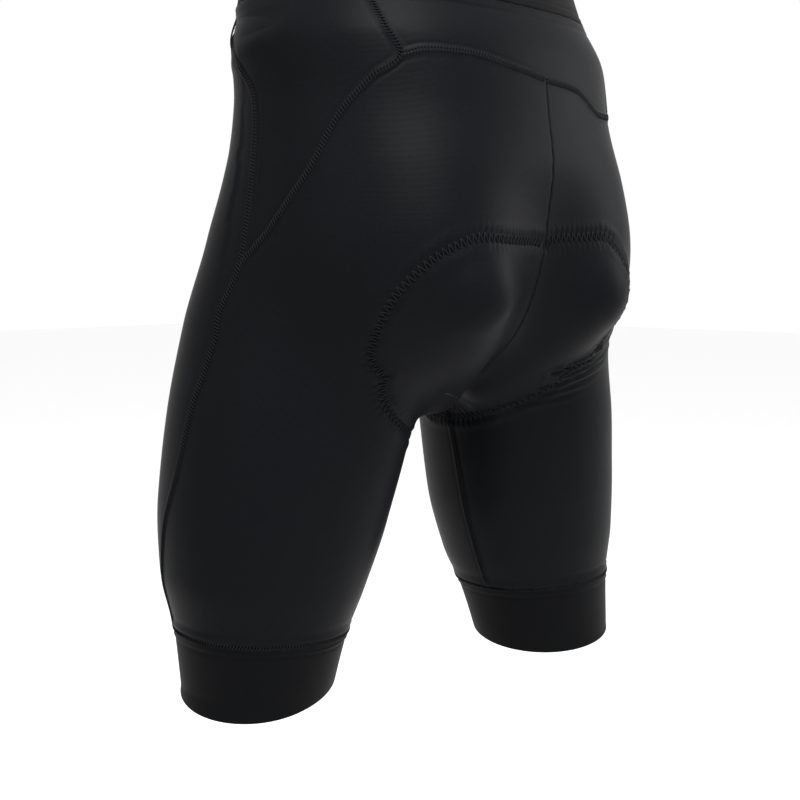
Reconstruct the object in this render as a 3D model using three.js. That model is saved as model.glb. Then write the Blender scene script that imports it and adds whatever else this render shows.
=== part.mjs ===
// Cycling shorts, worn form: sewn stretch panels and elastic bands.
// Millimetres, +Z up, the front of the garment towards -Y, the wearer's left towards +X.
// The origin is the middle of the waist opening, where the wearer holds the garment up.
import * as THREE from "three";

// ---------- cloth ----------
const CLOTH = 1.4;            // panel wall
const BAND_CLOTH = 1.8;       // leg band wall
const WAIST_CLOTH = 2.2;      // waistband wall
const SEAM_GAP = 0.3;         // between neighbouring pieces
const TIP_GAP = 1.5;          // pointed end of a side panel held back from the seam

// ---------- general figure ----------
// sections of the trunk: height, half width, depth behind, depth in front, centre
const TRUNK = [
  { z: 40, wide: 136, back: 94, front: 82, centre: 4 },
  { z: 0, wide: 138, back: 98, front: 84, centre: 7 },
  { z: -30, wide: 142, back: 103, front: 85, centre: 12 },
  { z: -65, wide: 155, back: 111, front: 88, centre: 19 },
  { z: -100, wide: 152, back: 113, front: 92, centre: 22 },
  { z: -140, wide: 152, back: 117, front: 92, centre: 22 },
  { z: -180, wide: 149, back: 110, front: 86, centre: 20 },
  { z: -230, wide: 147, back: 98, front: 82, centre: 14 },
  { z: -300, wide: 140, back: 88, front: 78, centre: 8 },
];
const TRUNK_POWER = 2.25;     // squareness of a trunk section
const TRUNK_END = { from: -200, depth: 92 };
// sections of a leg: distance down the leg, four radii, lean of the section
const LEG = [
  { at: -60, out: 60, inn: 60, back: 72, front: 50, skew: 0.06 },
  { at: 0, out: 67, inn: 68, back: 82, front: 60, skew: 0.08 },
  { at: 60, out: 76, inn: 75, back: 86, front: 73, skew: 0.10 },
  { at: 120, out: 79, inn: 76, back: 85, front: 80, skew: 0.10 },
  { at: 180, out: 78, inn: 74, back: 76, front: 83, skew: 0.08 },
  { at: 230, out: 73, inn: 66, back: 66, front: 77, skew: 0.05 },
  { at: 265, out: 62, inn: 58, back: 58, front: 64, skew: 0.03 },
  { at: 310, out: 53, inn: 53, back: 53, front: 53, skew: 0 },
];
const LEG_END = 90;           // rounding of a leg above the hip
const SEAT = { x: 64, y: 58, z: -200, rx: 84, ry: 85, rz: 98 };
const LOBE = {                // pad foam seen through the cloth
  top: { x: 66, y: 117, z: -226, radius: 34 },
  low: { x: 31, y: 60, z: -289, radius: 23 },
};
const BLEND = 12;             // softness where trunk, legs and seat meet
const LOBE_BLEND = 5;         // softness round a pad lobe

// ---------- stance, one entry per side ----------
const LEFT = 1;
const RIGHT = -1;
const STANCE = {
  [LEFT]: { hip: [91, -5, -200], foot: [130, -17, -501], dipOut: 13, dipBack: 7, band: 1.84 },
  [RIGHT]: { hip: [-96, 9, -200], foot: [-130, 37, -502], dipOut: -5, dipBack: 7, band: 1.82 },
};
const LEVEL = 0.6;            // how far the leg rings lie level instead of square to the leg

// ---------- rings ----------
// row 0 is the waist edge, row 1 the crotch, row 2 the hem
// column 0 is the middle of the back (below the crotch the inseam), column 1 the front
const CROTCH = { y: 18, from: -190, row: 0.6, ring: -255 };
const REACH = 1.6;            // row where the ring centres have moved fully over to the leg
const FRONT_DIP = 12;         // waist edge lower in front
const DIP_ROW = 0.5;          // row where the front dip has died away
const HEM_ROW = 1.8;          // row where the hem's own slant begins
const WAISTBAND_ROW = 0.11;
const YOKE_ROW = 0.268;
const YOKE_FADE = 0.62;       // row where the yoke line no longer bends the rows
// yoke line: how far the rows are moved along the column, on each side
const YOKE_LINE = [
  { u: 0, left: 0, right: 0 },
  { u: 0.08, left: -0.016, right: 0.014 },
  { u: 0.16, left: -0.029, right: 0.068 },
  { u: 0.22, left: -0.024, right: 0.074 },
  { u: 0.27, left: 0, right: 0.066 },
  { u: 0.45, left: 0, right: 0.02 },
  { u: 0.6, left: 0, right: 0 },
  { u: 1, left: 0, right: 0 },
];
// long seam: short seam at the top, the diagonal, then the outer leg seam
const LONG_SEAM = [
  { row: 0.11, u: 0.312 },
  { row: 0.2, u: 0.279 },
  { row: 0.268, u: 0.256 },
  { row: 0.32, u: 0.288 },
  { row: 0.42, u: 0.324 },
  { row: 0.56, u: 0.35 },
  { row: 0.7, u: 0.393 },
  { row: 0.82, u: 0.43 },
  { row: 0.94, u: 0.431 },
  { row: 1.09, u: 0.444 },
  { row: 1.22, u: 0.467 },
  { row: 1.38, u: 0.5 },
  { row: 1.58, u: 0.556 },
  { row: 1.84, u: 0.6 },
  { row: 2, u: 0.61 },
];
const SIDE_SEAM = [
  { row: 0.11, u: 0.6 },
  { row: 0.2, u: 0.55 },
  { row: 0.3, u: 0.5 },
  { row: 0.38, u: 0.464 },
  { row: 0.48, u: 0.449 },
  { row: 0.6, u: 0.439 },
  { row: 0.82, u: 0.43 },
];
const SIDE_TIP_ROW = 0.82;

// ---------- grids ----------
const ROWS = [0.11, 0.16, 0.215, 0.268, 0.335, 0.4, 0.47, 0.54, 0.61, 0.68, 0.75, 0.82,
  0.88, 0.94, 1, 1.05, 1.1, 1.16, 1.23, 1.31, 1.4, 1.49, 1.58, 1.66, 1.74];
const BACK_COLUMNS = 14;
const SIDE_COLUMNS = 5;
const FRONT_COLUMNS = 12;
const WAISTBAND_STEPS = 2;
const BAND_STEPS = 3;

// ---------- colour ----------
const BLACK_KNIT = { colour: 0x1c1e21, roughness: 0.78 };
const BLACK_ELASTIC = { colour: 0x121315, roughness: 0.7 };

// ---------- numbers ----------
const smooth = (t) => {
  const x = Math.min(1, Math.max(0, t));
  return x * x * (3 - 2 * x);
};

// value of one column of a table at x, drawn as a smooth line through the rows
function along(table, key, column, x) {
  const step = table[0][key] < table[table.length - 1][key] ? 1 : -1;
  const last = table.length - 1;
  const at = (i) => table[step > 0 ? i : last - i];
  const knot = (i) => at(i)[key];
  const value = (i) => at(i)[column];
  const q = Math.min(knot(last), Math.max(knot(0), x));
  let i = 0;
  while (i < last - 1 && knot(i + 1) <= q) i += 1;
  const slope = (n) => {
    if (n === 0) return (value(1) - value(0)) / (knot(1) - knot(0));
    if (n === last) return (value(last) - value(last - 1)) / (knot(last) - knot(last - 1));
    const before = (value(n) - value(n - 1)) / (knot(n) - knot(n - 1));
    const after = (value(n + 1) - value(n)) / (knot(n + 1) - knot(n));
    return before * after <= 0 ? 0 : (2 * before * after) / (before + after);
  };
  const h = knot(i + 1) - knot(i);
  const t = (q - knot(i)) / h;
  return (1 + 2 * t) * (1 - t) ** 2 * value(i) + t * (1 - t) ** 2 * h * slope(i)
    + t * t * (3 - 2 * t) * value(i + 1) + t * t * (t - 1) * h * slope(i + 1);
}

const V = (x, y, z) => new THREE.Vector3(x, y, z);

// ---------- form ----------
function legFrame(side) {
  const hip = V(...STANCE[side].hip);
  const down = V(...STANCE[side].foot).sub(hip);
  const length = down.length();
  down.normalize();
  const out = V(side, 0, 0);
  out.addScaledVector(down, -out.dot(down)).normalize();
  const back = V(0, 1, 0);
  back.addScaledVector(down, -back.dot(down)).addScaledVector(out, -back.dot(out)).normalize();
  return { hip, down, out, back, length };
}
const FRAME = { [LEFT]: legFrame(LEFT), [RIGHT]: legFrame(RIGHT) };

function trunk(p) {
  const centre = along(TRUNK, "z", "centre", p.z);
  const wide = along(TRUNK, "z", "wide", p.z);
  const deep = along(TRUNK, "z", p.y > centre ? "back" : "front", p.z);
  const end = Math.max(0, (TRUNK_END.from - p.z) / TRUNK_END.depth);
  const g = (Math.abs(p.x / wide) ** TRUNK_POWER + Math.abs((p.y - centre) / deep) ** TRUNK_POWER
    + end ** TRUNK_POWER) ** (1 / TRUNK_POWER);
  return (g - 1) * 0.5 * (wide + deep);
}

function leg(p, side) {
  const f = FRAME[side];
  const q = p.clone().sub(f.hip);
  const t = q.dot(f.down);
  const x = q.dot(f.out);
  const y = q.dot(f.back);
  const a = along(LEG, "at", x > 0 ? "out" : "inn", t);
  const b = along(LEG, "at", y > 0 ? "back" : "front", t);
  const skew = along(LEG, "at", "skew", t);
  const end = Math.max(0, -t / LEG_END);
  const g = Math.sqrt((x / a) ** 2 + (y / b) ** 2 + 2 * skew * (x / a) * (y / b) + end ** 2);
  return (g - 1) * 0.5 * (a + b);
}

function seat(p, side) {
  const x = (p.x - side * SEAT.x) / SEAT.rx;
  const y = (p.y - SEAT.y) / SEAT.ry;
  const z = (p.z - SEAT.z) / SEAT.rz;
  return (Math.sqrt(x * x + y * y + z * z) - 1) * Math.min(SEAT.rx, SEAT.ry);
}

function lobe(p, side) {
  const a = V(side * LOBE.top.x, LOBE.top.y, LOBE.top.z);
  const ab = V(side * LOBE.low.x, LOBE.low.y, LOBE.low.z).sub(a);
  const t = Math.min(1, Math.max(0, p.clone().sub(a).dot(ab) / ab.lengthSq()));
  const radius = LOBE.top.radius + (LOBE.low.radius - LOBE.top.radius) * t;
  return p.distanceTo(a.addScaledVector(ab, t)) - radius;
}

function blend(values, softness) {
  const least = Math.min(...values);
  const sum = values.reduce((total, v) => total + Math.exp((least - v) / softness), 0);
  return least - softness * Math.log(sum);
}

// below 0 inside the figure, above 0 outside
function form(p) {
  const body = blend([trunk(p), leg(p, LEFT), leg(p, RIGHT), seat(p, LEFT), seat(p, RIGHT)], BLEND);
  return blend([body, lobe(p, LEFT), lobe(p, RIGHT)], LOBE_BLEND);
}

const PROBE = 0.5;
function normal(p) {
  const n = V(
    form(V(p.x + PROBE, p.y, p.z)) - form(V(p.x - PROBE, p.y, p.z)),
    form(V(p.x, p.y + PROBE, p.z)) - form(V(p.x, p.y - PROBE, p.z)),
    form(V(p.x, p.y, p.z + PROBE)) - form(V(p.x, p.y, p.z - PROBE)),
  );
  return n.normalize();
}

// first point where a line from inside leaves the form
const FAR = 300;
const MARCH = 24;
const HALVINGS = 22;
function leave(from, towards) {
  const at = (t) => from.clone().addScaledVector(towards, t);
  let low = 0;
  let high = FAR;
  for (let k = 1; k <= MARCH; k += 1) {
    const t = (FAR * k) / MARCH;
    if (form(at(t)) > 0) {
      high = t;
      break;
    }
    low = t;
  }
  for (let k = 0; k < HALVINGS; k += 1) {
    const mid = (low + high) / 2;
    if (form(at(mid)) > 0) high = mid;
    else low = mid;
  }
  return at((low + high) / 2);
}

// ---------- columns and rows on the form ----------
// point of the middle seam, behind or in front
function middle(row, behind) {
  const fan = Math.min(1, Math.max(0, (row - CROTCH.row) / (1 - CROTCH.row)));
  const down = (-Math.PI / 2) * fan;
  const z = CROTCH.from * Math.min(1, row / CROTCH.row);
  const from = V(0, CROTCH.y * smooth(row / CROTCH.row), z);
  return leave(from, V(0, (behind ? 1 : -1) * Math.cos(down), Math.sin(down)));
}

function ring(row, side) {
  const f = FRAME[side];
  const start = (CROTCH.ring - f.hip.z) / f.down.z;
  const z = row <= 1 ? CROTCH.ring * row : f.hip.z + f.down.z * (start + (row - 1) * (f.length - start));
  const axis = f.hip.clone().addScaledVector(f.down, (z - f.hip.z) / f.down.z);
  const centre = V(axis.x * smooth(row / REACH), axis.y * smooth(row), z);
  const square = f.down.clone().multiplyScalar(1 - LEVEL).add(V(0, 0, -LEVEL)).normalize();
  const legOut = f.out.clone().addScaledVector(square, -f.out.dot(square)).normalize();
  const legBack = f.back.clone().addScaledVector(square, -f.back.dot(square));
  legBack.addScaledVector(legOut, -legBack.dot(legOut)).normalize();
  const w = smooth((row - 0.75) / 0.5);
  const out = V(side, 0, 0).multiplyScalar(1 - w).addScaledVector(legOut, w).normalize();
  const back = V(0, 1, 0).multiplyScalar(1 - w).addScaledVector(legBack, w);
  back.addScaledVector(out, -back.dot(out)).normalize();
  const up = out.clone().cross(back).multiplyScalar(side);
  return { centre, out, back, up };
}

function seamEnd(row, side, behind, r) {
  const sign = behind ? 1 : -1;
  const measure = (base, upTo) => {
    const d = middle(upTo, behind).sub(base.centre);
    const x = d.dot(base.out);
    const y = d.dot(base.back);
    const turn = Math.atan2(y * sign, x);
    return { angle: turn < 0 ? turn + 2 * Math.PI : turn, tilt: Math.atan2(d.dot(base.up), Math.hypot(x, y)) };
  };
  if (row <= 1) return measure(r, row);
  const crotch = measure(ring(1, side), 1);
  const w = smooth((row - 1) / 0.8);
  return { angle: crotch.angle + (Math.PI - crotch.angle) * w, tilt: crotch.tilt * (1 - w) };
}

const ends = new Map();
function ringEnds(row, side) {
  const key = `${row.toFixed(5)} ${side}`;
  if (!ends.has(key)) {
    const r = ring(row, side);
    ends.set(key, { r, back: seamEnd(row, side, true, r), front: seamEnd(row, side, false, r) });
  }
  return ends.get(key);
}

function surface(u, line, side) {
  const fade = smooth((line - WAISTBAND_ROW) / (YOKE_ROW - WAISTBAND_ROW))
    * (1 - smooth((line - YOKE_ROW) / (YOKE_FADE - YOKE_ROW)));
  const row = line + fade * along(YOKE_LINE, "u", side === LEFT ? "left" : "right", u);
  const { r, back, front } = ringEnds(row, side);
  const angle = back.angle - (back.angle + front.angle) * u;
  const k = 1 - 2 * u;
  const tilt = (k > 0 ? back.tilt : front.tilt) * smooth(Math.abs(k));
  const pose = STANCE[side];
  const hem = smooth((row - HEM_ROW) / (2 - HEM_ROW));
  const dip = hem * (pose.dipOut * Math.cos(angle) + pose.dipBack * Math.sin(angle))
    + FRONT_DIP * smooth(u) * (1 - smooth(row / DIP_ROW));
  const from = r.centre.clone();
  from.z -= dip;
  const d = V(0, 0, 0)
    .addScaledVector(r.out, Math.cos(tilt) * Math.cos(angle))
    .addScaledVector(r.back, Math.cos(tilt) * Math.sin(angle))
    .addScaledVector(r.up, Math.sin(tilt));
  const p = leave(from, d);
  if (row <= 1 && (u === 0 || u === 1)) p.x = 0;
  return p;
}

// ---------- closed walls ----------
// outer and inner are grids of points; a row of one point is a pointed end
function wall(outer, inner, closedRound) {
  const positions = [];
  const index = new Map();
  const id = (p) => {
    const key = `${p.x.toFixed(4)} ${p.y.toFixed(4)} ${p.z.toFixed(4)}`;
    if (!index.has(key)) {
      index.set(key, positions.length / 3);
      positions.push(p.x, p.y, p.z);
    }
    return index.get(key);
  };
  const faces = [];
  const triangle = (a, b, c) => {
    if (a !== b && b !== c && c !== a) faces.push([a, b, c]);
  };
  const quad = (a, b, c, d) => {
    triangle(id(a), id(b), id(c));
    triangle(id(a), id(c), id(d));
  };
  const m = outer.length - 1;
  const n = Math.max(...outer.map((r) => r.length)) - 1;
  const get = (grid, i, j) => (grid[i].length === 1 ? grid[i][0] : grid[i][j]);
  for (let i = 0; i < m; i += 1) {
    for (let j = 0; j < n; j += 1) {
      quad(get(outer, i, j), get(outer, i, j + 1), get(outer, i + 1, j + 1), get(outer, i + 1, j));
      quad(get(inner, i, j), get(inner, i + 1, j), get(inner, i + 1, j + 1), get(inner, i, j + 1));
    }
  }
  for (let j = 0; j < n; j += 1) {
    quad(get(outer, 0, j), get(inner, 0, j), get(inner, 0, j + 1), get(outer, 0, j + 1));
    quad(get(outer, m, j + 1), get(inner, m, j + 1), get(inner, m, j), get(outer, m, j));
  }
  for (let i = 0; i < m && !closedRound; i += 1) {
    quad(get(outer, i + 1, 0), get(inner, i + 1, 0), get(inner, i, 0), get(outer, i, 0));
    quad(get(outer, i, n), get(inner, i, n), get(inner, i + 1, n), get(outer, i + 1, n));
  }
  let volume = 0;
  const at = (i) => V(positions[3 * i], positions[3 * i + 1], positions[3 * i + 2]);
  for (const [a, b, c] of faces) volume += at(a).dot(at(b).cross(at(c)));
  const order = volume > 0 ? faces : faces.map(([a, b, c]) => [a, c, b]);
  const geometry = new THREE.BufferGeometry();
  geometry.setAttribute("position", new THREE.Float32BufferAttribute(positions, 3));
  geometry.setIndex(order.flat());
  geometry.computeVertexNormals();
  return geometry;
}

// move the rim of a grid in from the seams, square to each seam
function drawIn(grid, amount, closedRound) {
  const m = grid.length - 1;
  const n = grid[0].length - 1;
  const moved = grid.map((r) => r.map((p) => p.clone()));
  const shift = (i, j, inside, before, after) => {
    const run = after.clone().sub(before).normalize();
    const d = inside.clone().sub(grid[i][j]);
    d.addScaledVector(run, -d.dot(run)).normalize();
    moved[i][j].addScaledVector(d, amount);
  };
  const full = grid.map((r) => r.length === n + 1);
  for (let i = 0; i <= m && !closedRound; i += 1) {
    if (!full[i]) continue;
    const up = Math.max(0, i - 1);
    const low = i < m && full[i + 1] ? i + 1 : i;
    shift(i, 0, grid[i][1], grid[up][0], grid[low][0]);
    shift(i, n, grid[i][n - 1], grid[up][n], grid[low][n]);
  }
  for (let j = 0; j <= n; j += 1) {
    const before = closedRound && j === 0 ? n - 1 : Math.max(0, j - 1);
    const after = closedRound && j === n ? 1 : Math.min(n, j + 1);
    shift(0, j, grid[1][j], grid[0][before], grid[0][after]);
    if (full[m]) shift(m, j, grid[m - 1][j], grid[m][before], grid[m][after]);
  }
  if (!full[m]) {
    const tip = grid[m][0];
    const above = grid[m - 1][Math.floor(n / 2)];
    moved[m][0].addScaledVector(above.clone().sub(tip).normalize(), TIP_GAP);
  }
  return moved;
}

function sheet(grid, thickness, closedRound = false) {
  const outer = drawIn(grid, SEAM_GAP / 2, closedRound);
  const inner = outer.map((r) => r.map((p) => p.clone().addScaledVector(normal(p), -thickness)));
  return wall(outer, inner, closedRound);
}

// ---------- panels ----------
const longSeam = (line) => along(LONG_SEAM, "row", "u", line);
const sideSeam = (line) => (line >= SIDE_TIP_ROW ? longSeam(line) : along(SIDE_SEAM, "row", "u", line));
const steps = (from, to, count) => Array.from({ length: count + 1 }, (_, i) => from + ((to - from) * i) / count);
const linesTo = (side) => [...ROWS, STANCE[side].band];

const backSteps = (line) => steps(0, longSeam(line), BACK_COLUMNS);
const sideSteps = (line) => steps(longSeam(line), sideSeam(line), SIDE_COLUMNS);
const frontSteps = (line) => steps(sideSeam(line), 1, FRONT_COLUMNS);

function panel(side, lines, columnsAt) {
  return lines.map((line) => columnsAt(line).map((u) => surface(u, line, side)));
}

const backPanel = (side) => sheet(
  panel(side, linesTo(side).filter((line) => line >= YOKE_ROW), backSteps), CLOTH);

const frontPanel = (side) => sheet(panel(side, linesTo(side), frontSteps), CLOTH);

function sidePanel(side) {
  const lines = ROWS.filter((line) => line < SIDE_TIP_ROW);
  const grid = panel(side, lines, sideSteps);
  grid.push([surface(longSeam(SIDE_TIP_ROW), SIDE_TIP_ROW, side)]);
  return sheet(grid, CLOTH);
}

function yokePanel() {
  const lines = ROWS.filter((line) => line <= YOKE_ROW);
  const left = panel(LEFT, lines, backSteps);
  const right = panel(RIGHT, lines, backSteps);
  return sheet(left.map((r, i) => [...r.slice(1).reverse(), ...right[i]]), CLOTH);
}

// the columns of a whole ring, so that a band meets the panels point by point
const wholeRing = (line) => {
  const side = sideSeam(line) > longSeam(line) ? sideSteps(line).slice(1) : [];
  return [...backSteps(line), ...side, ...frontSteps(line).slice(1)];
};

function waistband() {
  const us = wholeRing(WAISTBAND_ROW);
  const grid = steps(0, WAISTBAND_ROW, WAISTBAND_STEPS).map((line) => {
    const left = us.map((u) => surface(u, line, LEFT));
    const right = us.map((u) => surface(u, line, RIGHT)).reverse();
    return [...left, ...right.slice(1, -1), left[0].clone()];
  });
  return sheet(grid, WAIST_CLOTH, true);
}

function legBand(side) {
  const us = wholeRing(STANCE[side].band);
  const grid = steps(STANCE[side].band, 2, BAND_STEPS).map((line) => {
    const round = us.slice(0, -1).map((u) => surface(u, line, side));
    return [...round, round[0].clone()];
  });
  return sheet(grid, BAND_CLOTH, true);
}

// ---------- object ----------
const object = new THREE.Group();
object.name = "cycling_shorts";

function add(name, geometry, finish) {
  const material = new THREE.MeshStandardMaterial({
    color: finish.colour,
    roughness: finish.roughness,
    metalness: 0,
  });
  material.name = name;
  const mesh = new THREE.Mesh(geometry, material);
  mesh.name = name;
  object.add(mesh);
}

add("waistband", waistband(), BLACK_ELASTIC);
add("back_yoke", yokePanel(), BLACK_KNIT);
for (const [side, word] of [[LEFT, "left"], [RIGHT, "right"]]) {
  add(`back_${word}`, backPanel(side), BLACK_KNIT);
  add(`side_${word}`, sidePanel(side), BLACK_KNIT);
  add(`front_${word}`, frontPanel(side), BLACK_KNIT);
  add(`band_${word}`, legBand(side), BLACK_ELASTIC);
}

export default object;
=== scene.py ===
import math

import bmesh
import bpy
import numpy as np
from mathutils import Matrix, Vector
from mathutils.kdtree import KDTree


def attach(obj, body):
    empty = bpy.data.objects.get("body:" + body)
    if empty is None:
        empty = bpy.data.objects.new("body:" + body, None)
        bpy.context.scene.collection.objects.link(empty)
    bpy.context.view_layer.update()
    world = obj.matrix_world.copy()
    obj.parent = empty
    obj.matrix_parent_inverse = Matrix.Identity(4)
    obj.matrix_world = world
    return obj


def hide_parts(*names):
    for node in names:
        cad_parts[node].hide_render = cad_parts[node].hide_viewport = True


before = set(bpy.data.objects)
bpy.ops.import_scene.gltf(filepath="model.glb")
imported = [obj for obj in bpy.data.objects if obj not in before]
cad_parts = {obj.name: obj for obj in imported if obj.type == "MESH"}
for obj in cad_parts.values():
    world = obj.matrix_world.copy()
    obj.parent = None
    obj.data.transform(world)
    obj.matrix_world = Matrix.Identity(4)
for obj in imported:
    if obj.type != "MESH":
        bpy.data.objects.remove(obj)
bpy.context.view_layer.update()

MM = 0.001
LEFT, RIGHT = 1, -1

# ---------- the form, in millimetres: the same figure and seams as the CAD panels ----------
TRUNK = np.array([  # height, half width, depth behind, depth in front, centre
    [40, 136, 94, 82, 4], [0, 138, 98, 84, 7], [-30, 142, 103, 85, 12],
    [-65, 155, 111, 88, 19], [-100, 152, 113, 92, 22], [-140, 152, 117, 92, 22],
    [-180, 149, 110, 86, 20], [-230, 147, 98, 82, 14], [-300, 140, 88, 78, 8],
], float)[::-1]
TRUNK_POWER = 2.25
TRUNK_END_FROM, TRUNK_END_DEPTH = -200, 92
LEG = np.array([  # distance down the leg, radii out, in, behind and in front, skew
    [-60, 60, 60, 72, 50, 0.06], [0, 67, 68, 82, 60, 0.08], [60, 76, 75, 86, 73, 0.10],
    [120, 79, 76, 85, 80, 0.10], [180, 78, 74, 76, 83, 0.08], [230, 73, 66, 66, 77, 0.05],
    [265, 62, 58, 58, 64, 0.03], [310, 53, 53, 53, 53, 0],
], float)
LEG_END = 90
SEAT_CENTRE, SEAT_RADII = (64, 58, -200), (84, 85, 98)
LOBE_TOP, LOBE_TOP_RADIUS = (66, 117, -226), 34
LOBE_LOW, LOBE_LOW_RADIUS = (31, 60, -289), 23
BLEND, LOBE_BLEND = 12, 5
HIP = {LEFT: (91, -5, -200), RIGHT: (-96, 9, -200)}
FOOT = {LEFT: (130, -17, -501), RIGHT: (-130, 37, -502)}
DIP_OUT, DIP_BACK = {LEFT: 13, RIGHT: -5}, 7
BAND_ROW = {LEFT: 1.84, RIGHT: 1.82}
LEVEL = 0.6
CROTCH_Y, CROTCH_FROM, CROTCH_ROW, CROTCH_RING = 18, -190, 0.6, -255
REACH, FRONT_DIP, DIP_ROW, HEM_ROW = 1.6, 12, 0.5, 1.8
WAISTBAND_ROW, YOKE_ROW, YOKE_FADE, SIDE_TIP_ROW = 0.11, 0.268, 0.62, 0.82
YOKE_LINE = np.array([  # column, rows moved on the left, on the right
    [0, 0, 0], [0.08, -0.016, 0.014], [0.16, -0.029, 0.068], [0.22, -0.024, 0.074],
    [0.27, 0, 0.066], [0.45, 0, 0.02], [0.6, 0, 0], [1, 0, 0],
])
LONG_SEAM = np.array([  # row, column
    [0.11, 0.312], [0.2, 0.279], [0.268, 0.256], [0.32, 0.288], [0.42, 0.324], [0.56, 0.35],
    [0.7, 0.393], [0.82, 0.43], [0.94, 0.431], [1.09, 0.444], [1.22, 0.467], [1.38, 0.5],
    [1.58, 0.556], [1.84, 0.6], [2, 0.61],
])
SIDE_SEAM = np.array([
    [0.11, 0.6], [0.2, 0.55], [0.3, 0.5], [0.38, 0.464], [0.48, 0.449], [0.6, 0.439],
    [0.82, 0.43],
])
PAD_FRONT = [  # shared front half; a column below 0 is counted back from the centre front
    [-0.06, 1.17], [-0.12, 1.12], [-0.15, 1.04], [-0.15, 0.95], [-0.125, 0.87],
    [-0.075, 0.8], [-0.02, 0.772],
]
PAD_EDGE = {  # column and row of the pad's sewn edge, from the centre back round to the front
    LEFT: np.array([
        [0, 0.61], [0.03, 0.607], [0.13, 0.61], [0.18, 0.64], [0.215, 0.695], [0.24, 0.765],
        [0.252, 0.84], [0.258, 0.925], [0.258, 1], [0.247, 1.06], [0.205, 1.125],
        [0.12, 1.165], [0.03, 1.18],
    ] + PAD_FRONT),
    RIGHT: np.array([
        [0, 0.61], [0.03, 0.602], [0.10, 0.60], [0.14, 0.63], [0.165, 0.68], [0.178, 0.735],
        [0.187, 0.79], [0.2, 0.85], [0.222, 0.94], [0.222, 1.03], [0.18, 1.085],
        [0.11, 1.125], [0.03, 1.155], [-0.06, 1.16],
    ] + PAD_FRONT[1:]),
}

# ---------- cloth and thread sizes, in millimetres ----------
SKIN = 0.8                 # panel wall
SINK = 0.1                 # depth of the bare outer face under the form
SEAM_HALF = 2.6            # half the width of a flat seam
SEAM_PROUD = 0.5           # height of a flat seam
STITCH_PITCH = 2.2
THREAD = 0.42              # thread radius
ZIGZAG_HALF = 3.8
ZIGZAG_PITCH = 4.6
PUCKER = 0.7               # depth of the puckers beside the zigzag
PUCKER_AT, PUCKER_WIDTH = 5.0, 2.2
SEAM_SHOULDER, SEAM_EDGE = 1.2, 0.8       # how wide a flat seam falls away, and how far inside its edge
# ridges and grooves along a line: distance from it, height, half width
SEAM_GROOVE = ((1.0, -0.35, 0.9),)        # measured from the edge of the flat seam
BACK_GROOVE = ((0.0, -0.45, 0.8),)
BAND_RIDGES = ((2.0, 0.8, 0.8), (5.0, 0.7, 0.8), (0.0, -0.4, 0.7), (7.5, -0.4, 1.0))
PAD_RIDGES = ((0.0, -0.8, 3.2), (7.5, 0.5, 2.5))
SEAM_REACH, BACK_REACH, BAND_REACH, PAD_REACH = 8.0, 6.0, 12.0, 14.0
PAD_STEP = 0.8             # spacing of the points along the pad's edge
CREASE_STEP = 1.0          # spacing of the points along a crease
CREASE_START, CREASE_POWER = 0.08, 0.7    # how soon a crease deepens, and how evenly
CREASE_LIP = (2.0, 0.6, 0.8)              # its lip: distance, share of depth, width
BAND_STITCH_HALF, STITCH_INSET, STITCH_SLANT = 1.6, 0.5, 0.35
STITCH_ACROSS, STITCH_LIFT = (-1.0, -0.4, 0.4, 1.0), (-0.35, 0.12, 0.12, -0.35)
ZIGZAG_ALONG, ZIGZAG_LIFT = (0.0, 0.25, 0.75, 1.0), (-0.9, -0.1, -0.1, -0.9)
# rows and columns of points on each kind of piece
BACK_GRID, FRONT_GRID, SIDE_GRID = (210, 120), (220, 110), (90, 60)
BAND_GRID, YOKE_GRID, WAISTBAND_GRID = (36, 221), (40, 70), (24, 200)
INSET = 0.0008             # share of a panel's width held back at each long edge
TIP_SHORT = 0.01           # rows held back from the side panel's tip
HEM = 2.0                  # row of the hem
PROBE = 0.5                # step for measuring the slope of the form
FRAME_FROM, FRAME_OVER = 0.75, 0.5        # rows over which a ring turns from the body to the leg
SEAM_OVER = 0.8            # rows below the crotch over which the inseam settles


def smooth(t):
    x = np.clip(t, 0.0, 1.0)
    return x * x * (3 - 2 * x)


def along(table, x):
    """Every column of a table at x, as smooth lines through its rows."""
    key, value = table[:, 0], table[:, 1:]
    step = np.diff(value, axis=0) / np.diff(key)[:, None]
    slope = np.empty_like(value)
    slope[0], slope[-1] = step[0], step[-1]
    a, b = step[:-1], step[1:]
    both = a + b
    slope[1:-1] = np.where(a * b > 0, 2 * a * b / np.where(both == 0, 1, both), 0)
    q = np.clip(np.asarray(x, float), key[0], key[-1])
    i = np.clip(np.searchsorted(key, q, side="right") - 1, 0, len(key) - 2)
    h = (key[i + 1] - key[i])[..., None]
    t = (q - key[i])[..., None] / h
    return ((1 + 2 * t) * (1 - t) ** 2 * value[i] + t * (1 - t) ** 2 * h * slope[i]
            + t * t * (3 - 2 * t) * value[i + 1] + t * t * (t - 1) * h * slope[i + 1])


def unit(v):
    return v / np.linalg.norm(v, axis=-1, keepdims=True)


def leg_frame(side):
    hip = np.array(HIP[side], float)
    down = np.array(FOOT[side], float) - hip
    length = np.linalg.norm(down)
    down = down / length
    out = np.array([side, 0.0, 0.0])
    out = unit(out - down * out.dot(down))
    back = np.array([0.0, 1.0, 0.0])
    back = unit(back - down * back.dot(down) - out * back.dot(out))
    return hip, down, out, back, length


FRAME = {side: leg_frame(side) for side in (LEFT, RIGHT)}


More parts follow.
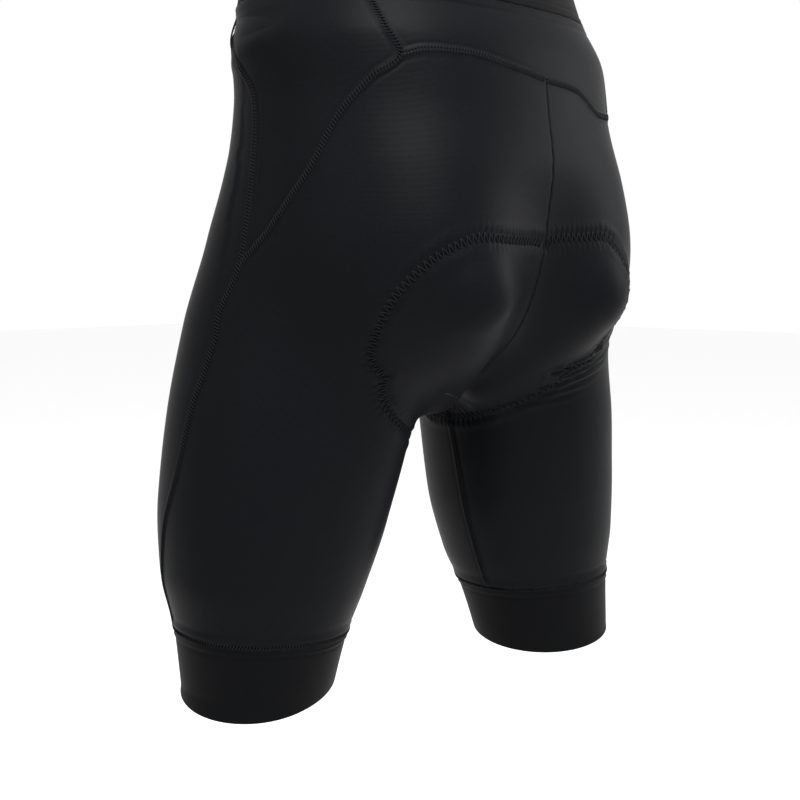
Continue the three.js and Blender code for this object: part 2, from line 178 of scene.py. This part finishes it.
def trunk(p):
    w = along(TRUNK, p[..., 2])
    deep = np.where(p[..., 1] > w[..., 3], w[..., 1], w[..., 2])
    end = np.maximum(0, (TRUNK_END_FROM - p[..., 2]) / TRUNK_END_DEPTH)
    g = (np.abs(p[..., 0] / w[..., 0]) ** TRUNK_POWER
         + np.abs((p[..., 1] - w[..., 3]) / deep) ** TRUNK_POWER
         + end ** TRUNK_POWER) ** (1 / TRUNK_POWER)
    return (g - 1) * 0.5 * (w[..., 0] + deep)


def leg(p, side):
    hip, down, out, back, _ = FRAME[side]
    q = p - hip
    t, x, y = q @ down, q @ out, q @ back
    w = along(LEG, t)
    a = np.where(x > 0, w[..., 0], w[..., 1])
    b = np.where(y > 0, w[..., 2], w[..., 3])
    end = np.maximum(0, -t / LEG_END)
    g = np.sqrt((x / a) ** 2 + (y / b) ** 2 + 2 * w[..., 4] * (x / a) * (y / b) + end ** 2)
    return (g - 1) * 0.5 * (a + b)


def seat(p, side):
    q = (p - np.array([side * SEAT_CENTRE[0], SEAT_CENTRE[1], SEAT_CENTRE[2]])) / SEAT_RADII
    return (np.linalg.norm(q, axis=-1) - 1) * min(SEAT_RADII[:2])


def lobe(p, side):
    a = np.array([side * LOBE_TOP[0], LOBE_TOP[1], LOBE_TOP[2]], float)
    ab = np.array([side * LOBE_LOW[0], LOBE_LOW[1], LOBE_LOW[2]], float) - a
    t = np.clip((p - a) @ ab / ab.dot(ab), 0, 1)
    radius = LOBE_TOP_RADIUS + (LOBE_LOW_RADIUS - LOBE_TOP_RADIUS) * t
    return np.linalg.norm(p - a - t[..., None] * ab, axis=-1) - radius


def blend(values, softness):
    stack = np.stack(values)
    least = stack.min(0)
    return least - softness * np.log(np.exp((least - stack) / softness).sum(0))


def form(p):
    body = blend([trunk(p), leg(p, LEFT), leg(p, RIGHT), seat(p, LEFT), seat(p, RIGHT)], BLEND)
    return blend([body, lobe(p, LEFT), lobe(p, RIGHT)], LOBE_BLEND)


def normal(p):
    n = np.empty_like(p)
    for k in range(3):
        d = np.zeros(3)
        d[k] = PROBE
        n[..., k] = form(p + d) - form(p - d)
    return unit(n)


def leave(start, towards, far=300.0, march=24, halvings=16):
    start = np.broadcast_to(start, towards.shape)
    shape = towards.shape[:-1]
    low, high = np.zeros(shape), np.full(shape, far)
    found = np.zeros(shape, bool)
    for k in range(1, march + 1):
        t = far * k / march
        new = (form(start + towards * t) > 0) & ~found
        low = np.where(new, far * (k - 1) / march, low)
        high = np.where(new, t, high)
        found |= new
    for _ in range(halvings):
        mid = (low + high) / 2
        outside = form(start + towards * mid[..., None]) > 0
        high = np.where(outside, mid, high)
        low = np.where(outside, low, mid)
    return start + towards * ((low + high) / 2)[..., None]


def middle(row, sign):
    down = -math.pi / 2 * np.clip((row - CROTCH_ROW) / (1 - CROTCH_ROW), 0, 1)
    z = CROTCH_FROM * np.minimum(1, row / CROTCH_ROW)
    start = np.stack([0 * row, CROTCH_Y * smooth(row / CROTCH_ROW), z], -1)
    return leave(start, np.stack([0 * row, sign * np.cos(down), np.sin(down)], -1))


def ring(row, side):
    hip, down, leg_out, leg_back, length = FRAME[side]
    start = (CROTCH_RING - hip[2]) / down[2]
    below = hip[2] + down[2] * (start + (row - 1) * (length - start))
    z = np.where(row <= 1, CROTCH_RING * row, below)
    axis = hip + down * ((z - hip[2]) / down[2])[..., None]
    centre = np.stack([axis[..., 0] * smooth(row / REACH), axis[..., 1] * smooth(row), z], -1)
    square = unit(down * (1 - LEVEL) + np.array([0, 0, -LEVEL]))
    o = unit(leg_out - square * leg_out.dot(square))
    b = leg_back - square * leg_back.dot(square)
    b = unit(b - o * b.dot(o))
    w = smooth((row - FRAME_FROM) / FRAME_OVER)[..., None]
    out = unit(np.array([side, 0.0, 0.0]) * (1 - w) + o * w)
    back = np.array([0.0, 1.0, 0.0]) * (1 - w) + b * w
    back = unit(back - out * (back * out).sum(-1, keepdims=True))
    return centre, out, back, np.cross(out, back) * side


def seam_end(row, side, sign, base):
    def measure(parts, upto):
        centre, out, back, up = parts
        d = middle(upto, sign) - centre
        x, y = (d * out).sum(-1), (d * back).sum(-1)
        turn = np.arctan2(y * sign, x)
        tilt = np.arctan2((d * up).sum(-1), np.hypot(x, y))
        return np.where(turn < 0, turn + 2 * math.pi, turn), tilt
    angle, tilt = measure(base, np.minimum(row, 1.0))
    crotch = np.array([1.0])
    crotch_angle, crotch_tilt = measure(ring(crotch, side), crotch)
    w = smooth((row - 1) / SEAM_OVER)
    below = row > 1
    return (np.where(below, crotch_angle + (math.pi - crotch_angle) * w, angle),
            np.where(below, crotch_tilt * (1 - w), tilt))


def bent_row(u, line, side):
    fade = smooth((line - WAISTBAND_ROW) / (YOKE_ROW - WAISTBAND_ROW))
    fade = fade * (1 - smooth((line - YOKE_ROW) / (YOKE_FADE - YOKE_ROW)))
    return line + fade * along(YOKE_LINE, u)[..., 0 if side == LEFT else 1]


def seam_ends(side):
    """Angle and tilt of both ends of every ring: behind, then in front."""
    base = ring(KNOTS, side)
    return seam_end(KNOTS, side, 1, base) + seam_end(KNOTS, side, -1, base)


KNOTS = np.linspace(0, HEM, 801)
RINGS = {side: seam_ends(side) for side in (LEFT, RIGHT)}


def surface(u, line, side):
    """Points of the form at columns u and rows line."""
    u, line = np.broadcast_arrays(np.asarray(u, float), np.asarray(line, float))
    row = bent_row(u, line, side)
    centre, out, back, up = ring(row, side)
    ab, tb, af, tf = (np.interp(row, KNOTS, k) for k in RINGS[side])
    angle = ab - (ab + af) * u
    k = 1 - 2 * u
    tilt = np.where(k > 0, tb, tf) * smooth(np.abs(k))
    hem = smooth((row - HEM_ROW) / (HEM - HEM_ROW))
    dip = hem * (DIP_OUT[side] * np.cos(angle) + DIP_BACK * np.sin(angle))
    dip = dip + FRONT_DIP * smooth(u) * (1 - smooth(row / DIP_ROW))
    start = centre - np.array([0.0, 0.0, 1.0]) * dip[..., None]
    d = ((np.cos(tilt) * np.cos(angle))[..., None] * out
         + (np.cos(tilt) * np.sin(angle))[..., None] * back + np.sin(tilt)[..., None] * up)
    return leave(start, d)


def long_seam(line):
    return along(LONG_SEAM, line)[..., 0]


def side_seam(line):
    return np.where(line >= SIDE_TIP_ROW, long_seam(line), along(SIDE_SEAM, line)[..., 0])


# ---------- lines that carry seams and stitches ----------
def resample(points, step):
    d = np.r_[0, np.cumsum(np.linalg.norm(np.diff(points, axis=0), axis=1))]
    s = np.linspace(0, d[-1], max(2, int(round(d[-1] / step)) + 1))
    return np.stack([np.interp(s, d, points[:, k]) for k in range(3)], -1)


def line_points(columns, rows, side, step=2.0):
    return resample(surface(columns, rows, side), step)


def seam_lines():
    lines = []
    for side in (LEFT, RIGHT):
        rows = np.linspace(WAISTBAND_ROW, BAND_ROW[side], 240)
        lines.append(("long", line_points(long_seam(rows), rows, side)))
        rows = np.linspace(WAISTBAND_ROW, SIDE_TIP_ROW, 120)
        lines.append(("side", line_points(side_seam(rows), rows, side)))
        rows = np.linspace(1.0, BAND_ROW[side], 120)
        lines.append(("inseam", line_points(0 * rows, rows, side)))
        u = np.linspace(0, 1, 200)
        lines.append(("band", line_points(u, 0 * u + BAND_ROW[side], side)))
        lines.append(("waist", line_points(u, 0 * u + WAISTBAND_ROW, side)))
        u = np.linspace(0, float(long_seam(np.array(YOKE_ROW))), 80)
        lines.append(("yoke", line_points(u, 0 * u + YOKE_ROW, side)))
    rows = np.linspace(YOKE_ROW, 1.0, 160)
    lines.append(("back", line_points(0 * rows, rows, LEFT)))
    rows = np.linspace(WAISTBAND_ROW, 1.0, 160)
    lines.append(("front", line_points(0 * rows + 1, rows, LEFT)))
    return lines


def pad_edge(side):
    table = PAD_EDGE[side]
    t = np.linspace(0, 1, len(table))
    fine = np.linspace(0, 1, 400)
    both = along(np.c_[t, table], fine)
    column = np.where(both[:, 0] < 0, 1 + both[:, 0], both[:, 0])
    return resample(surface(column, both[:, 1], side), PAD_STEP)


SEAMS = seam_lines()
PAD = {side: pad_edge(side) for side in (LEFT, RIGHT)}


class Near:
    """Nearest point of a line to each of many points."""

    def __init__(self, points):
        self.points = points
        self.tree = KDTree(len(points))
        for i, p in enumerate(points):
            self.tree.insert(Vector(p), i)
        self.tree.balance()

    def find(self, p, reach):
        flat = p.reshape(-1, 3)
        low, high = self.points.min(0) - reach, self.points.max(0) + reach
        near = ((flat > low) & (flat < high)).all(1)
        dist, index = np.full(len(flat), 1e6), np.zeros(len(flat), int)
        for i in np.flatnonzero(near):
            _, j, d = self.tree.find(flat[i])
            dist[i], index[i] = d, j
        return dist.reshape(p.shape[:-1]), index.reshape(p.shape[:-1])


def near_seams(*kinds):
    return Near(np.concatenate([points for name, points in SEAMS if name in kinds]))


SEAM_TREE = near_seams("long", "side", "inseam", "yoke", "front")
BACK_TREE = near_seams("back")
BAND_TREE = near_seams("band", "waist")
PAD_TREE = {side: Near(PAD[side]) for side in (LEFT, RIGHT)}


def bump(x, width):
    return np.exp(-(x / width) ** 2)


def ridges(d, rows):
    return sum(height * bump(d - place, width) for place, height, width in rows)


# creases listed: start and end (column, row), height (below 0 for a trough) and half width, mm
CROTCH_CREASES = [
    ((0.96, 1.02), (0.83, 0.86), -1.6, 3.5), ((0.955, 0.96), (0.86, 0.82), -1.2, 3.0),
]
CREASES = {
    RIGHT: [
        ((0.17, 0.93), (0.3, 0.88), -1.5, 2.0), ((0.19, 0.97), (0.33, 0.925), -1.8, 2.2),
        ((0.2, 1.0), (0.31, 0.965), -1.4, 1.8), ((0.2, 1.035), (0.35, 0.995), -1.9, 2.3),
        ((0.185, 1.065), (0.32, 1.035), -1.5, 2.0), ((0.17, 1.09), (0.29, 1.07), -1.2, 2.0),
        ((0.14, 1.11), (0.25, 1.105), -1.0, 1.9), ((0.66, 0.2), (0.5, 0.26), -1.6, 6.0),
    ] + CROTCH_CREASES,
    LEFT: [
        ((0.6, 0.17), (0.42, 0.2), -2.2, 7.0), ((0.58, 0.24), (0.46, 0.23), -1.2, 5.0),
        ((0.03, 1.22), (0.12, 1.24), -0.9, 2.4), ((0.97, 1.2), (0.86, 1.24), -1.3, 3.0),
        ((0.97, 1.27), (0.88, 1.33), -0.9, 3.0),
    ] + CROTCH_CREASES,
}


def crease_field(p, side):
    """Troughs that fade at both ends, each with a raised lip."""
    lip_at, lip_height, lip_width = CREASE_LIP
    out = np.zeros(p.shape[:-1])
    for (u0, r0), (u1, r1), depth, width in CREASES[side]:
        t = np.linspace(0, 1, 24)
        points = surface(u0 + (u1 - u0) * t, r0 + (r1 - r0) * t, side)
        d, i = Near(resample(points, CREASE_STEP)).find(p, 4 * width)
        run = CREASE_START + (1 - CREASE_START) * i / max(1, i.max())
        fade = np.sin(math.pi * np.clip(run, 0, 1)) ** CREASE_POWER
        lip = lip_height * bump(d - lip_at * width, lip_width * width)
        out += depth * fade * (bump(d, width) - lip)
    return out


def detail(p, side):
    """Height added along the normal: flat seams, band ridges, puckers, creases."""
    d, _ = SEAM_TREE.find(p, SEAM_REACH)
    past = d - SEAM_HALF
    h = SEAM_PROUD * (1 - smooth((past + SEAM_EDGE) / SEAM_SHOULDER)) + ridges(past, SEAM_GROOVE)
    d, _ = BACK_TREE.find(p, BACK_REACH)
    h += ridges(d, BACK_GROOVE)
    d, _ = BAND_TREE.find(p, BAND_REACH)
    h += ridges(d, BAND_RIDGES)
    for half in (side,) if side else (LEFT, RIGHT):
        d, i = PAD_TREE[half].find(p, PAD_REACH)
        phase = np.cos(2 * math.pi * i * PAD_STEP / ZIGZAG_PITCH)
        h += PUCKER * phase * bump(d - PUCKER_AT, PUCKER_WIDTH) + ridges(d, PAD_RIDGES)
        h += crease_field(p, half)
    return h


# ---------- meshes ----------
def mesh_object(name, vertices, faces, material):
    mesh = bpy.data.meshes.new(name)
    mesh.from_pydata((np.asarray(vertices) * MM).tolist(), [], faces)
    mesh.update()
    obj = bpy.data.objects.new(name, mesh)
    bpy.context.scene.collection.objects.link(obj)
    mesh.materials.append(material)
    mesh.polygons.foreach_set("use_smooth", [True] * len(mesh.polygons))
    return obj


def shell(grid, thickness, side, round_=False):
    """A thin closed wall on a grid of points, with seams and creases raised on it."""
    n = normal(grid)
    outer = grid + n * (detail(grid, side) - SINK)[..., None]
    inner = grid - n * (thickness + SINK)
    rows, cols = grid.shape[:2]
    if round_:
        outer, inner = outer[:, :-1], inner[:, :-1]
        cols -= 1
    count = rows * cols
    vertices = np.concatenate([outer.reshape(-1, 3), inner.reshape(-1, 3)])
    faces = []
    wrap = cols if round_ else cols - 1

    def at(i, j):
        return i * cols + j % cols
    for i in range(rows - 1):
        for j in range(wrap):
            a, b, c, d = at(i, j), at(i, j + 1), at(i + 1, j + 1), at(i + 1, j)
            faces.append((a, b, c, d))
            faces.append((a + count, d + count, c + count, b + count))
    for j in range(wrap):
        a, b = at(0, j), at(0, j + 1)
        faces.append((a, a + count, b + count, b))
        a, b = at(rows - 1, j), at(rows - 1, j + 1)
        faces.append((b, b + count, a + count, a))
    if not round_:
        for i in range(rows - 1):
            a, b = at(i, 0), at(i + 1, 0)
            faces.append((b, b + count, a + count, a))
            a, b = at(i, cols - 1), at(i + 1, cols - 1)
            faces.append((a, a + count, b + count, b))
    return vertices, faces


def face_out(obj):
    """Turn every face outward."""
    b = bmesh.new()
    b.from_mesh(obj.data)
    if b.calc_volume(signed=True) < 0:
        bmesh.ops.reverse_faces(b, faces=b.faces)
    b.to_mesh(obj.data)
    b.free()


def centre_back(rows):
    return 0 * rows


def centre_front(rows):
    return 0 * rows + 1


def between(low, high, first, last, size, side):
    """Points of a panel between two long edges, from its first row to its last."""
    rows = np.linspace(first, last, size[0])
    t = np.linspace(INSET, 1 - INSET, size[1])
    u = low(rows)[:, None] + (high(rows) - low(rows))[:, None] * t[None, :]
    return surface(u, np.repeat(rows[:, None], size[1], 1), side)


def around(first, last, size, side):
    """Points all the way from the centre back or inseam to the centre front."""
    rows, u = np.linspace(first, last, size[0]), np.linspace(0, 1, size[1])
    return surface(u[None, :] + 0 * rows[:, None], rows[:, None] + 0 * u[None, :], side)


def build_panels(knit, elastic):
    """Name, points, side (0 for both), whether it closes on itself, and material of each piece."""
    made = []
    for side, word in ((LEFT, "left"), (RIGHT, "right")):
        band = BAND_ROW[side]
        back = between(centre_back, long_seam, YOKE_ROW, band, BACK_GRID, side)
        front = between(side_seam, centre_front, WAISTBAND_ROW, band, FRONT_GRID, side)
        tip = SIDE_TIP_ROW - TIP_SHORT
        flank = between(long_seam, side_seam, WAISTBAND_ROW, tip, SIDE_GRID, side)
        made.append((f"back_{word}", back, side, False, knit))
        made.append((f"front_{word}", front, side, False, knit))
        made.append((f"side_{word}", flank, side, False, knit))
        made.append((f"band_{word}", around(band, HEM, BAND_GRID, side), side, True, elastic))
    left, right = (between(centre_back, long_seam, WAISTBAND_ROW, YOKE_ROW, YOKE_GRID, side)
                   for side in (LEFT, RIGHT))
    made.append(("back_yoke", np.concatenate([left[:, ::-1], right[:, 1:]], 1), 0, False, knit))
    left, right = (around(0, WAISTBAND_ROW, WAISTBAND_GRID, side) for side in (LEFT, RIGHT))
    ring_round = np.concatenate([left, right[:, ::-1][:, 1:]], 1)
    made.append(("waistband", ring_round, 0, True, elastic))
    return made


def tubes(paths, radius, sides=5):
    """Joined round threads, one along each short path of points."""
    vertices, faces = [], []
    for path in paths:
        path = np.asarray(path)
        run = unit(np.gradient(path, axis=0))
        up = unit(np.cross(run, np.array([0.31, 0.52, 0.79])))
        across = np.cross(run, up)
        base = len(vertices)
        for k in range(len(path)):
            for s in range(sides):
                a = 2 * math.pi * s / sides
                vertices.append(path[k] + radius * (math.cos(a) * up[k] + math.sin(a) * across[k]))
        for k in range(len(path) - 1):
            for s in range(sides):
                a, b = base + k * sides + s, base + k * sides + (s + 1) % sides
                faces.append((a, b, b + sides, a + sides))
        faces.append(tuple(base + s for s in reversed(range(sides))))
        faces.append(tuple(base + (len(path) - 1) * sides + s for s in range(sides)))
    return vertices, faces


def seam_stitches():
    """Cross threads over each flat seam."""
    paths = []
    for name, points in SEAMS:
        if name in ("waist", "back"):
            continue
        line = resample(points, STITCH_PITCH)
        run = unit(np.gradient(line, axis=0))
        n = normal(line)
        across = unit(np.cross(n, run))
        half = BAND_STITCH_HALF if name == "band" else SEAM_HALF - STITCH_INSET
        slant = STITCH_SLANT * STITCH_PITCH
        t = np.array(STITCH_ACROSS)[:, None]
        lift = SEAM_PROUD + np.array(STITCH_LIFT)[:, None]
        for k in range(1, len(line) - 1):
            paths.append(line[k] + across[k] * half * t + run[k] * slant * t + n[k] * lift)
    return paths


def pad_stitches():
    """A zigzag of threads along the pad's sewn edge."""
    paths = []
    for side in (LEFT, RIGHT):
        line = resample(PAD[side], ZIGZAG_PITCH / 2)
        run = unit(np.gradient(line, axis=0))
        n = normal(line)
        across = unit(np.cross(n, run))
        sign = np.where(np.arange(len(line)) % 2 == 0, 1.0, -1.0)[:, None]
        corner = line + across * ZIGZAG_HALF * sign
        t, lift = np.array(ZIGZAG_ALONG)[:, None], np.array(ZIGZAG_LIFT)[:, None]
        for k in range(1, len(line) - 2):
            paths.append(corner[k] * (1 - t) + corner[k + 1] * t + n[k] * lift)
    return paths


# ---------- materials ----------
def cloth(name, colour, roughness, grain, ribs, strength):
    """Matt cloth with uneven colour, and a bump of fine ribs and grain."""
    m = bpy.data.materials.new(name)
    m.use_nodes = True
    nodes, links = m.node_tree.nodes, m.node_tree.links
    shader = nodes["Principled BSDF"]
    shader.inputs["Roughness"].default_value = roughness
    shader.inputs["Specular IOR Level"].default_value = 0.025
    shader.inputs["Sheen Weight"].default_value = 0.005
    shader.inputs["Sheen Roughness"].default_value = 0.4
    place = nodes.new("ShaderNodeTexCoord")
    noise = nodes.new("ShaderNodeTexNoise")
    noise.inputs["Scale"].default_value = grain
    noise.inputs["Detail"].default_value = 4
    links.new(place.outputs["Object"], noise.inputs["Vector"])
    ramp = nodes.new("ShaderNodeValToRGB")
    ramp.color_ramp.elements[0].position = 0.3
    ramp.color_ramp.elements[1].position = 0.7
    ramp.color_ramp.elements[0].color = [c * 0.8 for c in colour] + [1]
    ramp.color_ramp.elements[1].color = [c * 1.2 for c in colour] + [1]
    links.new(noise.outputs["Fac"], ramp.inputs["Fac"])
    links.new(ramp.outputs["Color"], shader.inputs["Base Color"])
    wave = nodes.new("ShaderNodeTexWave")
    wave.wave_type = "BANDS"
    wave.bands_direction = "Z"
    wave.inputs["Scale"].default_value = ribs
    wave.inputs["Distortion"].default_value = 1.5
    links.new(place.outputs["Object"], wave.inputs["Vector"])
    height = nodes.new("ShaderNodeMath")
    height.operation = "ADD"
    links.new(wave.outputs["Fac"], height.inputs[0])
    links.new(noise.outputs["Fac"], height.inputs[1])
    relief = nodes.new("ShaderNodeBump")
    relief.inputs["Strength"].default_value = strength
    relief.inputs["Distance"].default_value = 0.0002
    links.new(height.outputs["Value"], relief.inputs["Height"])
    links.new(relief.outputs["Normal"], shader.inputs["Normal"])
    return m


def plain(name, colour, roughness):
    m = bpy.data.materials.new(name)
    m.use_nodes = True
    shader = m.node_tree.nodes["Principled BSDF"]
    shader.inputs["Base Color"].default_value = (*colour, 1)
    shader.inputs["Roughness"].default_value = roughness
    return m


# worn width, length and area of each piece, in metres; the flat cut is smaller, as knit stretches
STRETCH_ACROSS, STRETCH_ALONG = 0.90, 0.96
CUTS = {
    "back_left": (0.282, 0.476, 0.0949), "back_right": (0.261, 0.472, 0.0847),
    "front_left": (0.290, 0.495, 0.0919), "front_right": (0.305, 0.491, 0.0949),
    "side_left": (0.134, 0.231, 0.0130), "side_right": (0.135, 0.221, 0.0134),
    "band_left": (0.382, 0.053, 0.0144), "band_right": (0.389, 0.054, 0.0165),
    "back_yoke": (0.257, 0.073, 0.0138), "waistband": (0.770, 0.037, 0.0238),
}


def build():
    knit = cloth("black_knit", (0.0026, 0.0028, 0.0034), 0.42, 900, 420, 0.25)
    elastic = cloth("black_elastic", (0.0016, 0.0017, 0.002), 0.5, 1200, 700, 0.4)
    thread = cloth("black_thread", (0.0060, 0.0064, 0.0074), 0.6, 2500, 900, 0.2)
    for name, grid, side, round_, material in build_panels(knit, elastic):
        vertices, faces = shell(grid, SKIN, side, round_)
        obj = mesh_object(name + "_cloth", vertices, faces, material)
        face_out(obj)
        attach(obj, "root")
        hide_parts(name)
        width, length, area = CUTS[name]
        width, length = width * STRETCH_ACROSS, length * STRETCH_ALONG
        area *= STRETCH_ACROSS * STRETCH_ALONG
    for name, paths in (("seam_stitches", seam_stitches()), ("pad_zigzag", pad_stitches())):
        vertices, faces = tubes(paths, THREAD)
        obj = mesh_object(name, vertices, faces, thread)
        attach(obj, "root")


# ---------- studio ----------
AZIMUTH, ELEVATION, DISTANCE = math.radians(133.0), math.radians(5.9), 1.005
AIM = Vector((0, 0, -0.310))
FOCAL_MM, SENSOR_MM = 59.85, 36.0
FLOOR_Z = -1.1


LIGHTS = (  # name, place, size in metres, power in watts
    ("key", (0.5, 1.1, 1.5), 1.2, 120), ("fill", (1.6, 0.1, 0.5), 1.0, 7),
    ("rim", (-1.3, 0.9, 0.2), 0.8, 10),
)


def white_world(scene):
    scene.view_settings.view_transform = "Standard"
    world = bpy.data.worlds.new("studio")
    scene.world = world
    world.use_nodes = True
    background = world.node_tree.nodes["Background"]
    background.inputs["Color"].default_value = (1, 1, 1, 1)
    background.inputs["Strength"].default_value = 1.0


def add_floor():
    bpy.ops.mesh.primitive_plane_add(size=30, location=(0, 0, FLOOR_Z))
    floor = bpy.context.object
    floor.name = "floor"
    floor.data.materials.append(plain("pale_floor", (0.95, 0.95, 0.95), 0.9))


def add_light(scene, name, place, size, power):
    light = bpy.data.lights.new(name, "AREA")
    light.size = size
    light.energy = power
    obj = bpy.data.objects.new(name, light)
    scene.collection.objects.link(obj)
    obj.location = place
    obj.rotation_euler = (AIM - Vector(place)).to_track_quat("-Z", "Y").to_euler()


def add_camera(scene):
    back = Vector((math.sin(AZIMUTH) * math.cos(ELEVATION),
                   -math.cos(AZIMUTH) * math.cos(ELEVATION), math.sin(ELEVATION)))
    camera = bpy.data.cameras.new("camera")
    camera.lens = FOCAL_MM
    camera.sensor_width = SENSOR_MM
    camera.clip_start = 0.05
    view = bpy.data.objects.new("camera", camera)
    scene.collection.objects.link(view)
    view.location = AIM + back * DISTANCE
    view.rotation_euler = (-back).to_track_quat("-Z", "Y").to_euler()
    scene.camera = view


def studio():
    scene = bpy.context.scene
    white_world(scene)
    add_floor()
    for light in LIGHTS:
        add_light(scene, *light)
    add_camera(scene)


build()
studio()
